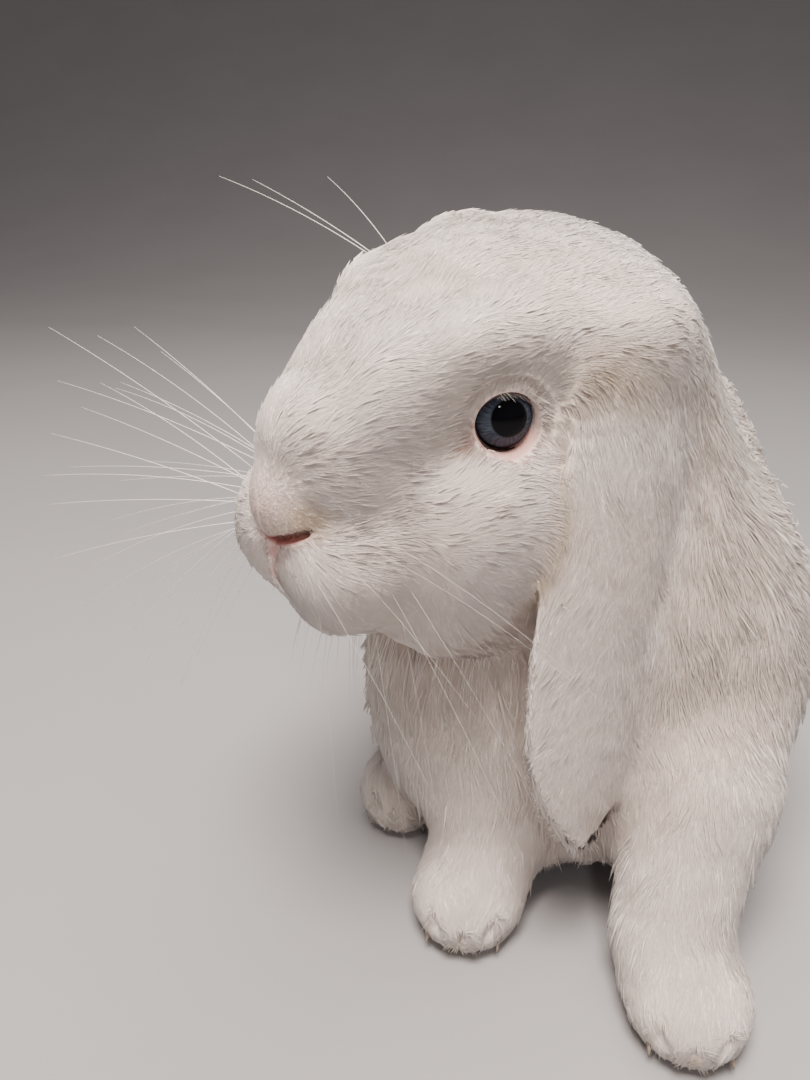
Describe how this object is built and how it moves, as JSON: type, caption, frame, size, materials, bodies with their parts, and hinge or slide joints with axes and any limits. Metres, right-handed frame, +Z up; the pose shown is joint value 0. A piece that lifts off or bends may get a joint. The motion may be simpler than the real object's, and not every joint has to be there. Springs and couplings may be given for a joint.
{
  "type": "lop rabbit",
  "caption": "Lop-eared rabbit sitting up on its forelegs, head turned to its right and tilted, with its ears hanging down beside its cheeks.",
  "frame": {"origin": "centre of the bounding box in X and Y, on the floor under the feet", "axes": "+Z up, -Y to the front of the body, +X to the rabbit's own left"},
  "size_m": [0.2198, 0.3092, 0.1844],
  "materials": {
    "coat": "dense soft fur, matt",
    "ear_coat": "short velvety fur over thin pinkish skin",
    "whiskers": "furred pad with stiff clear-white whiskers",
    "eye": "wet, glossy, dark blue-grey"
  },
  "bodies": {
    "root": {"head": "coat", "neck": "coat", "trunk": "coat", "tail": "coat", "ear_left": "ear_coat", "ear_right": "ear_coat", "eye_left": "eye", "eye_right": "eye", "whiskers_left": "whiskers", "whiskers_right": "whiskers", "foreleg_left": "coat", "foreleg_right": "coat", "forefoot_left": "coat", "forefoot_right": "coat", "thigh_left": "coat", "thigh_right": "coat", "hindfoot_left": "coat", "hindfoot_right": "coat"}
  },
  "joints": []
}
